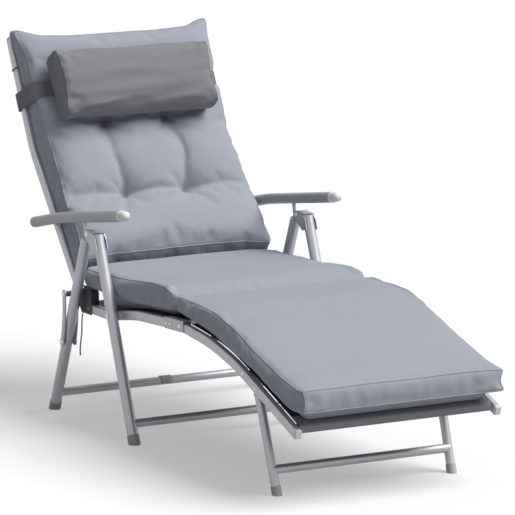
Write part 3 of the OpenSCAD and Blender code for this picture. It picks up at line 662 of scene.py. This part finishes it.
# ---- seat and footrest cushion: one cover, folded where the footrest is hinged ----
LEG_BELOW = [(0.352, 0.343), (0.255, 0.343), (0.133, 0.343), (0.008, 0.351), (-0.110, 0.361),
             (-0.147, 0.366), (-0.195, 0.364), (-0.326, 0.346), (-0.437, 0.321), (-0.558, 0.292),
             (-0.633, 0.269), (-0.697, 0.246), (-0.744, 0.233), (-0.803, 0.233)]
LEG_ABOVE = [(0.350, 0.396), (0.225, 0.402), (0.098, 0.406), (-0.015, 0.414), (-0.100, 0.415),
             (-0.147, 0.407), (-0.200, 0.409), (-0.341, 0.405), (-0.430, 0.387), (-0.507, 0.367),
             (-0.561, 0.349), (-0.668, 0.318), (-0.740, 0.302), (-0.806, 0.292)]
LEG_THICK = 0.055
FOLD_Y = -0.147       # where the cover is sewn into a fold
FOLD_LINES = np.array([-0.009, -0.0045, -0.002, 0.0, 0.002, 0.0045, 0.009])
SLING_TOP = [(0.352, 0.302), (0.205, 0.304), (0.132, 0.3155), (0.060, 0.3275), (-0.050, 0.337),
             (-0.164, 0.3445), (-0.214, 0.344), (-0.345, 0.3305), (-0.475, 0.300), (-0.600, 0.2565),
             (-0.756, 0.199)]


def smooth_through(p, steps):
    """The smooth curve through the outline p at fractional point numbers."""
    padded = with_ends(p)
    i = np.minimum(steps.astype(int), len(p) - 2)
    t = (steps - i)[:, None]
    return catmull_rom(padded[i], padded[i + 1], padded[i + 2], padded[i + 3], t)


def matched(a, b, count):
    """Two outlines resampled so that points with the same number lie opposite each other."""
    steps = np.linspace(0, len(a) - 1, 14 * len(a))
    fine = [smooth_through(np.array(outline), steps) for outline in (a, b)]
    along = distances((fine[0] + fine[1]) / 2)
    at = np.linspace(0, along[-1], count)
    pick = [np.stack([np.interp(at, along, f[:, k]) for k in (0, 1)], axis=1) for f in fine]
    return pick[0], pick[1], along[-1]


def leg_cushion():
    rear, front, length = matched(LEG_BELOW, LEG_ABOVE, 200)
    middle_y = (rear[:, 0] + front[:, 0]) / 2
    fold = length * np.interp(-FOLD_Y, -middle_y, np.linspace(0, 1, len(middle_y)))
    thick = LEG_THICK
    half = CUSHION_W / 2
    xs = np.linspace(-half, half, int(CUSHION_W / GRID) + 1)
    ss = np.linspace(0, length, int(length / GRID) + 1)
    ss = np.sort(np.concatenate([ss[np.abs(ss - fold) > 0.013], fold + FOLD_LINES]))
    ts = np.linspace(0, thick, 7)
    flat, faces, uvs = box_grid(xs, ss, ts)
    p = rounded(flat, (-half, 0, 0), (half, length, thick), 0.010)
    x, s = p[:, 0].copy(), p[:, 1].copy()
    top = flat[:, 2] > 0.99 * thick
    bottom = flat[:, 2] < 0.01 * thick
    edge = np.clip(1 - (np.abs(x) / half) ** 6, 0, 1)
    panel = np.minimum(ease(np.abs(s - fold), 0, 0.10), ease(length - s, 0, 0.08))
    p[:, 2] += top * 0.010 * edge * (0.3 + 0.7 * panel)
    # the two boxed sections part at the sides, and the cover is drawn down between them
    slit = np.exp(-np.abs(s - fold) / 0.0042)
    valley = np.exp(-np.abs(s - fold) / 0.016)
    p[:, 2] -= top * (0.009 * valley + 0.009 * slit)
    p[:, 2] += bottom * 0.012 * slit
    side = ease(np.abs(x), half - 0.04, half - 0.004)
    p[:, 0] -= np.sign(x) * side * 0.042 * slit
    p[:, 2] -= top * side * 0.012 * slit
    # broad slack folds on top, crosswise gathers beside the fold and down the sides
    loose = wavy(np.column_stack([p[:, 0] * 0.5, s, p[:, 2] * 0]), 11, 4)
    gathers = wavy(np.column_stack([p[:, 0] * 1.7, s * 0.5, p[:, 2] * 0]), 26, 8)
    p[:, 2] += top * edge * (0.0030 * loose + 0.0022 * gathers * bump_at(s - fold, 0.05))
    creases = wavy(np.column_stack([s * 1.5, p[:, 2] * 0.4, x * 0]), 38, 6)
    p[:, 0] += np.sign(x) * 0.0022 * creases * at_sides(flat, half)
    # boxing that bulges between its two seams
    belly = np.sin(np.pi * np.clip(flat[:, 2] / thick, 0, 1))
    p[:, 0] += np.sign(x) * at_sides(flat, half) * 0.004 * belly * panel
    p[:, 1] += (flat[:, 1] > 0.999 * length) * 0.005 * belly * edge
    # puckers along the front boxing and the front corners' seams
    front_panel = (flat[:, 1] > 0.999 * length) * belly
    p[:, 1] += front_panel * 0.0045 * wavy(np.column_stack([x, s * 0, p[:, 2] * 0.25]), 42, 3)
    corner = bump_at(half - np.abs(x), 0.02) * bump_at(length - s, 0.02)
    p[:, 0] += np.sign(x) * corner * 0.004 * np.sin(p[:, 2] * 620)
    q = np.column_stack([p[:, 0], p[:, 1] / length, p[:, 2] / thick])
    placed = spine_map(q, rear, front)
    # the underside sags between the rails until it lies on the slings
    rest_z = np.interp(-placed[:, 1], [-y for y, z in SLING_TOP], [z for y, z in SLING_TOP])
    sag = bottom * ease(0.262 - np.abs(placed[:, 0]), 0.0, 0.03) * ease(length - s, 0.02, 0.07)
    sag *= ease(s, 0.03, 0.09) * ease(np.abs(s - fold), 0.015, 0.07)
    placed[:, 2] -= sag * np.maximum(placed[:, 2] - rest_z - 0.0025, 0)
    o = new_object("seat_pad", placed, faces, uvs)
    held = np.maximum(bottom, bump_at(s - fold, 0.006))
    inflate(o, held, pressure=1.6, grow=0.014, cap=0.006)
    subdivide(o)
    rim = rim_of(flat, half, length)
    sew(o, flat, rim & top, (0, length / 2), SEAM_R)
    sew(o, flat, rim & bottom, (0, length / 2), SEAM_R)
    for end in (-half, half):
        post = (np.abs(flat[:, 0] - end) < 1e-6) & (flat[:, 1] > length - 1e-6)
        index = np.nonzero(post)[0][np.argsort(flat[post, 2])]
        line = [o.data.vertices[int(i)].co for i in index]
        add_to(o, *tube_round(line, SEAM_R))
    return o


seat_pad = dress(leg_cushion(), "cushion")
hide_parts("seat_cushion", "footrest_cushion")
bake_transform(seat_pad)


# ---- head pillow ----
PILLOW_W, PILLOW_H, PILLOW_T = 0.425, 0.188, 0.102
PILLOW_X = -0.012      # its middle, a little to the sitter's right
PILLOW_SEAM_R = 0.0019


def head_pillow():
    half = np.array((PILLOW_W, PILLOW_H, PILLOW_T)) / 2
    grid = 0.0075
    axes = [np.linspace(-h, h, int(2 * h / grid) + 1) for h in half]
    flat, faces, uvs = box_grid(*axes)
    p = rounded(flat, -half, half, 0.012)
    a, b, c = (flat / half).T
    # a round section, fuller in front; flat gusseted ends with their corners drawn out
    girth = np.column_stack([p[:, 1], p[:, 2]])
    size = np.linalg.norm(girth / half[1:], axis=1)
    box_size = np.maximum(np.abs(b), np.abs(c))
    roundness = 0.35 * np.clip(1 - np.abs(a) ** 6, 0, 1) + 0.55
    pull = 1 - roundness * (1 - box_size / np.maximum(size, 1e-6)) * (size > 0.5)
    p[:, 1:] *= pull[:, None]
    p[:, 2] *= 1 - 0.16 * np.abs(a) ** 5
    ends = ease(np.abs(a), 0.72, 1.0)
    folds = wavy(np.column_stack([p[:, 0] * 0.35, p[:, 1] * 1.6, p[:, 2] * 1.6]), 26, 2)
    fine = wavy(np.column_stack([p[:, 0] * 1.5, p[:, 1] * 2.0, p[:, 2] * 2.0]), 32, 7)
    p[:, 2] += c * (0.0045 * folds + 0.0040 * fine * ends)
    p[:, 1] += b * (0.0025 * folds + 0.0035 * fine * ends)
    p[:, 0] += a * (0.004 * fine * ends + 0.009 * ends * np.abs(b * c))
    out = np.array((-BACK_TOP_DIR[1], BACK_TOP_DIR[0]))
    center = on_top(131, 131)
    place = np.column_stack([p[:, 0] + PILLOW_X, center + p[:, 1:2] * BACK_TOP_DIR + p[:, 2:3] * out])
    o = new_object("pillow", place, faces, uvs)
    held = 0.9 * bump_at(1 - np.abs(a), 0.03) * bump_at(1 - np.abs(b), 0.2)
    inflate(o, held, pressure=1.0, grow=0.008, cap=0.003, bending=2.0)
    subdivide(o)
    for end in (-1, 1):
        rim = (a * end > 0.999) & (box_size > 0.999)
        sew(o, flat[:, 1:], rim, (0, 0), PILLOW_SEAM_R)
    return o


pillow = dress(head_pillow(), "pillow")
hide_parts("head_pillow")
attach(pillow, "back_frame")


# ---- strap round the cushion and the rails ----
def pillow_strap():
    left = [(-0.190, 98), (-0.212, 84), (-0.232, 77), (-0.252, 73.5), (-0.268, 66), (-0.2765, 50),
            (-0.2808, 26), (-0.2832, 2), (-0.2832, -13), (-0.2785, -18.5), (-0.262, -19)]
    right = [(-x - (0.006 if out > 20 else 0), out) for x, out in reversed(left)]
    ring = smooth_line(left + [(0, -19)] + right, 150)
    ahead = np.gradient(ring, axis=0) * np.array((1, MM))
    ahead /= np.linalg.norm(ahead, axis=1, keepdims=True)
    out = np.array((0, -BACK_TOP_DIR[1], BACK_TOP_DIR[0]))
    across = np.array((0, *BACK_TOP_DIR))
    line = [np.array((x, *on_top(STRAP_ALONG, d))) for x, d in ring]
    normals = [-(-t[1] * np.array((1, 0, 0)) + t[0] * out) for t in ahead]
    return band("strap_band", line, normals, across, STRAP_W, 0.0016)


strap_band = dress(pillow_strap(), "strap")
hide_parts("pillow_strap")
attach(strap_band, "back_frame")


# ---- slings: woven mesh stretched between the rails ----
SLING_THICK = 0.0016


def sling(name, path, node, body, sag=0.004):
    """A two-faced sheet as wide as the CAD sling, along a side outline, dipping by sag in its middle."""
    low, high = np.array(NODES[node].bound_box)[[0, 6]]
    half = max(abs(low[0]), abs(high[0]))
    line = smooth_line(path, 60)
    xs = np.linspace(-half, half, 31)
    along = distances(line)
    verts, faces, uvs = [], [], []
    for side in (SLING_THICK / 2, -SLING_THICK / 2):
        for i, (p, u) in enumerate(zip(line, upward(line))):
            dip = sag * math.sin(math.pi * i / (len(line) - 1))
            for x in xs:
                q = p + u * (side - dip * (1 - (x / half) ** 2))
                verts.append((x, *q))
    n, m = len(line), len(xs)
    for sheet in (0, 1):
        for i in range(n - 1):
            for j in range(m - 1):
                k = sheet * n * m + i * m + j
                f = [k, k + 1, k + m + 1, k + m]
                c = [(xs[b], along[a]) for b, a in ((j, i), (j + 1, i), (j + 1, i + 1), (j, i + 1))]
                faces.append(f if sheet else f[::-1])
                uvs += c if sheet else c[::-1]
    rim = [i * m for i in range(n)] + [(n - 1) * m + j for j in range(1, m)]
    rim += [i * m + m - 1 for i in range(n - 2, -1, -1)] + [j for j in range(m - 2, 0, -1)]
    for a, b in zip(rim, rim[1:] + rim[:1]):
        faces.append([a, b, b + n * m, a + n * m])
        uvs += [(0, 0), (0.01, 0), (0.01, 0.002), (0, 0.002)]
    o = dress(new_object(name, verts, faces, uvs), "mesh")
    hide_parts(node)
    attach(o, body)
    return o


def beside(points, lift):
    """A side outline moved square to itself, upwards for a positive lift."""
    p = np.array(points, float)
    return p + upward(p) * lift


LIFT = 0.0105         # from the rails' middle line up to the slings
SEAT_RAIL = [(0.352, 0.2915), (0.270, 0.2915), (0.205, 0.294), (0.132, 0.3045), (0.060, 0.317),
             (-0.050, 0.3265), (-0.164, 0.334)]
FOOT_RAIL = [(-0.214, 0.3334), (-0.280, 0.3275), (-0.345, 0.319), (-0.410, 0.307), (-0.475, 0.2885),
             (-0.600, 0.245), (-0.756, 0.1879)]
BACK_FACE = [on_back(50, 10.5), on_back(200, 10.5), on_back(380, 10.5), on_top(-30, 11.5),
             on_top(30, 11.5), on_top(150, 10.5), on_top(278, 10.5)]
sling("seat_sling", beside(SEAT_RAIL, LIFT), "seat_mesh", "seat_frame")
sling("back_sling", BACK_FACE, "back_mesh", "back_frame", sag=0.0)
sling("foot_sling", beside(FOOT_RAIL, LIFT), "footrest_mesh", "footrest")


HEM_W = 0.5195


def front_hem():
    """The sling's sewn front edge, turned down over its tube."""
    before, last = np.array(FOOT_RAIL[-2:])
    d = (last - before) / np.linalg.norm(last - before)
    u = np.array((d[1], -d[0]))
    end = last + LIFT * u
    steps = [(-0.040, 0.0014), (-0.020, 0.0014), (-0.006, 0.0014), (0.001, 0.0), (0.0042, -0.004),
             (0.0050, -0.010), (0.0036, -0.016), (-0.002, -0.020)]
    line = smooth_line([end + a * d + b * u for a, b in steps], 24)
    ahead = directions(line)
    zeros = np.zeros(len(line))
    normals = np.column_stack([zeros, ahead[:, 1], -ahead[:, 0]])
    return band("front_hem", np.column_stack([zeros, line]), normals, (1, 0, 0), HEM_W, 0.0012)


hem = dress(front_hem(), "strap")
hem.data.materials[0] = woven("hem", (0.27, 0.275, 0.29), 0.0026, contrast=0.45, sheen=0.1)
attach(hem, "footrest")


# ---- ribbon that hangs from the cushion's rear corner ----
TIE = [(-250, 322, 337.8), (-251, 334, 336), (-252, 350, 330), (-253, 366, 319), (-254, 380, 304),
       (-255, 391, 288), (-256, 400, 270), (-257, 406, 250), (-256, 410, 230), (-255, 413, 210),
       (-256, 416, 190), (-257, 419, 168), (-256, 421, 148)]


def tie_ribbon():
    line = smooth_line(np.array(TIE) * MM, 60)
    verts, faces = tube_round(line, 0.004, sides=8, flat=0.14, up=(0.8, 0.6, 0.1))
    uvs = [(verts[i][0], verts[i][2]) for f in faces for i in f]
    o = new_object("tie_ribbon", verts, faces, uvs)
    length = float(np.linalg.norm(np.diff(line, axis=0), axis=1).sum())
    return o, line, length


tie, tie_line, tie_length = tie_ribbon()
dress(tie, "strap")
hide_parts("cushion_tie")
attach(tie, "seat_frame")


# ---- floor and light ----
def floor_material():
    """White paper, brighter to the camera and in reflections than in the light it throws back."""
    n = Nodes("floor")
    place = n.coordinates("Object")
    n.join(n.ramp(n.noise(place, 3.0, 2.0), [(0.3, (0.61, 0.61, 0.61)), (0.7, (0.63, 0.63, 0.63))]),
           n.shader.inputs["Base Color"])
    n.shader.inputs["Emission Color"].default_value = (1, 1, 1, 1)
    n.shader.inputs["Emission Strength"].default_value = 0.36
    dim = n.add("ShaderNodeBsdfDiffuse")
    dim.inputs["Color"].default_value = (0.40, 0.40, 0.41, 1)
    seen = n.add("ShaderNodeLightPath")
    mix = n.add("ShaderNodeMixShader")
    n.join(n.math("MAXIMUM", seen.outputs["Is Camera Ray"], seen.outputs["Is Glossy Ray"]), mix.inputs["Fac"])
    n.join(dim.outputs[0], mix.inputs[1])
    n.join(n.shader.outputs[0], mix.inputs[2])
    n.join(mix.outputs[0], n.tree.nodes["Material Output"].inputs["Surface"])
    return n.finish(Roughness=0.9, Specular_IOR_Level=0.05)


floor = new_object("floor", [(-60, -60, 0), (60, -60, 0), (60, 60, 0), (-60, 60, 0)], [(0, 1, 2, 3)])
floor.data.materials.append(floor_material())


def sun(name, toward, strength, spread):
    """Even light from the direction toward, spread over an angle in degrees."""
    light = bpy.data.lights.new(name, "SUN")
    light.energy = strength
    light.angle = math.radians(spread)
    o = bpy.data.objects.new(name, light)
    o.rotation_mode = "QUATERNION"
    o.rotation_quaternion = Vector(toward).to_track_quat("Z", "Y")
    bpy.context.scene.collection.objects.link(o)


def studio_world(backdrop, fill):
    """A white surround, brighter to the camera and in reflections than as a light on the object."""
    world = bpy.data.worlds.new("studio")
    bpy.context.scene.world = world
    world.use_nodes = True
    tree = world.node_tree
    seen = tree.nodes["Background"]
    seen.inputs["Color"].default_value = (1, 1, 1, 1)
    seen.inputs["Strength"].default_value = backdrop
    lit = tree.nodes.new("ShaderNodeBackground")
    lit.inputs["Color"].default_value = (0.96, 0.98, 1, 1)
    lit.inputs["Strength"].default_value = fill
    path = tree.nodes.new("ShaderNodeLightPath")
    either = tree.nodes.new("ShaderNodeMath")
    either.operation = "MAXIMUM"
    tree.links.new(path.outputs["Is Camera Ray"], either.inputs[0])
    tree.links.new(path.outputs["Is Glossy Ray"], either.inputs[1])
    mix = tree.nodes.new("ShaderNodeMixShader")
    tree.links.new(either.outputs[0], mix.inputs["Fac"])
    tree.links.new(lit.outputs[0], mix.inputs[1])
    tree.links.new(seen.outputs[0], mix.inputs[2])
    tree.links.new(mix.outputs[0], tree.nodes["World Output"].inputs["Surface"])


studio_world(backdrop=1.0, fill=0.25)
sun("key", (0.46, -0.42, 0.80), strength=3.2, spread=45)
bpy.context.scene.view_settings.view_transform = "Standard"
